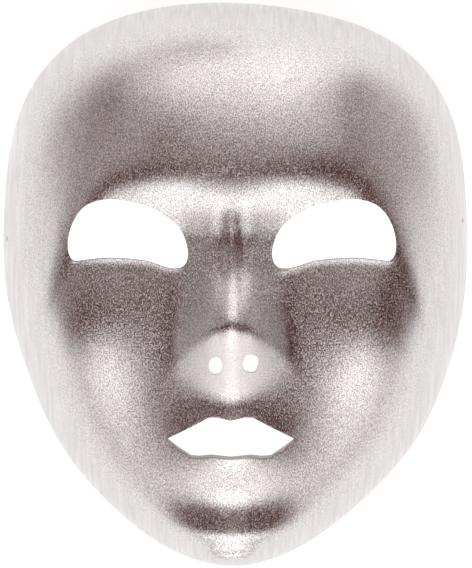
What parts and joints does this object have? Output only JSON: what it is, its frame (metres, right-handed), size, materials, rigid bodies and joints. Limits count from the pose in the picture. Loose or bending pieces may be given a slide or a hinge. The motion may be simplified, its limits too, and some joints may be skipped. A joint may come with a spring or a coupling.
{
  "type": "full face mask",
  "caption": "Plain silver costume mask in the shape of a calm face, a thin formed shell with eye, mouth and nostril openings and small holes for a head cord.",
  "frame": {"origin": "middle of the rim's outline, in the plane that the rim rests on", "axes": "+Z out of the face, up when the mask lies on its rim; +Y towards the forehead; +X towards the right of the face as it is seen from the front"},
  "size_m": [0.1854, 0.2252, 0.0683],
  "materials": {
    "silver_shell": "thin white plastic sheet faced with a fine-grained silver film, satin mirror with a fine sparkle; back and cut edges plain off-white plastic"
  },
  "bodies": {
    "root": {"mask_shell": "silver_shell"}
  },
  "joints": []
}
